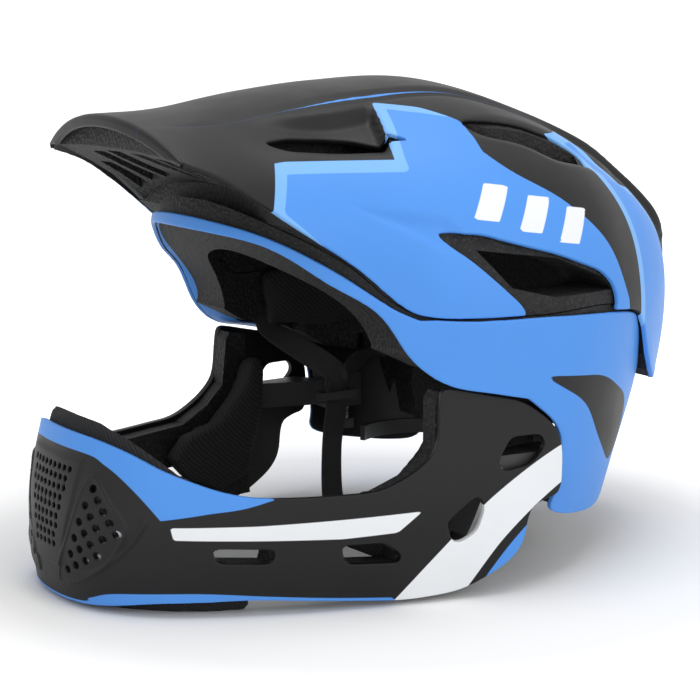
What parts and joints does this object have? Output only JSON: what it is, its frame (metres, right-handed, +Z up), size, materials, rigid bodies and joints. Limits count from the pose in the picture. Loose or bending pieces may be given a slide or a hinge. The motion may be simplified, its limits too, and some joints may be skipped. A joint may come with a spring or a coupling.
{
  "type": "full face bicycle helmet",
  "caption": "Downhill bicycle helmet with a fixed peak, vented painted shells, foam liners, pads, a detachable chin bar, a dial-adjusted cradle and a chin strap with a side release buckle.",
  "frame": {"origin": "middle of the helmet's bounding box, on the plane of the chin bar's rim pad", "axes": "+Z up, -Y the way the wearer looks, +X the wearer's left"},
  "size_m": [0.2112, 0.3053, 0.2092],
  "materials": {
    "painted_shell": "satin",
    "liner_foam": "matte",
    "pad_fabric": "matte",
    "black_plastic": "satin",
    "webbing": "matte",
    "spring_steel": "satin",
    "rivet_metal": "satin"
  },
  "bodies": {
    "helmet": {"brow_pad": "pad_fabric", "buckle_socket": "black_plastic", "button_spring_left": "spring_steel", "button_spring_right": "spring_steel", "cradle_hanger": "black_plastic", "cradle_housing": "black_plastic", "crown_pad": "pad_fabric", "crown_shell": "painted_shell", "hanger_rivets": "rivet_metal", "latch_socket_left": "black_plastic", "latch_socket_right": "black_plastic", "lower_foam": "liner_foam", "lower_shell": "painted_shell", "nape_pad": "pad_fabric", "pad_dots": "webbing", "peak_foam": "liner_foam", "side_pad_left": "pad_fabric", "side_pad_right": "pad_fabric", "strap_anchors": "black_plastic", "strap_divider_left": "black_plastic", "strap_divider_right": "black_plastic", "strap_left": "webbing", "strap_right": "webbing", "upper_foam": "liner_foam"},
    "chin_bar": {"chin_shell": "painted_shell", "chin_liner": "liner_foam", "mouth_pad": "pad_fabric", "chin_rim_pad": "pad_fabric", "cheek_pad_left": "pad_fabric", "cheek_pad_right": "pad_fabric", "latch_tongue_left": "black_plastic", "latch_tongue_right": "black_plastic", "tongue_rivets": "rivet_metal"},
    "release_button_left": {"release_button_left": "black_plastic"},
    "release_button_right": {"release_button_right": "black_plastic"},
    "adjuster_dial": {"adjuster_dial": "black_plastic"},
    "headband_left": {"headband_left": "black_plastic"},
    "headband_right": {"headband_right": "black_plastic"},
    "buckle_clip": {"buckle_clip": "black_plastic"}
  },
  "joints": [
    {"name": "chin_bar_release", "type": "slide", "parent": "helmet", "child": "chin_bar", "axis": [0, -1, 0], "range_m": [0, 0.03]},
    {"name": "release_press_left", "type": "slide", "parent": "helmet", "child": "release_button_left", "axis": [0, 0, 1], "range_m": [0, 0.0025], "stiffness_N_per_m": 200, "deforming": ["button_spring_left"]},
    {"name": "release_press_right", "type": "slide", "parent": "helmet", "child": "release_button_right", "axis": [0, 0, 1], "range_m": [0, 0.0025], "stiffness_N_per_m": 200, "deforming": ["button_spring_right"]},
    {"name": "dial_turn", "type": "hinge", "parent": "helmet", "child": "adjuster_dial", "pos_m": [0, 0.099, 0.03], "axis": [0, 1, 0], "range_deg": [0, 180]},
    {"name": "headband_slide_left", "type": "slide", "parent": "helmet", "child": "headband_left", "axis": [-1, 0, 0], "range_m": [0, 0.003]},
    {"name": "headband_slide_right", "type": "slide", "parent": "helmet", "child": "headband_right", "axis": [1, 0, 0], "range_m": [0, 0.003]},
    {"name": "buckle_release", "type": "slide", "parent": "helmet", "child": "buckle_clip", "axis": [1, 0, 0], "range_m": [0, 0.016]}
  ],
  "couplings": [
    {"joint": "headband_slide_left", "follows": "dial_turn", "m_per_rad": 0.00095493},
    {"joint": "headband_slide_right", "follows": "dial_turn", "m_per_rad": 0.00095493}
  ]
}
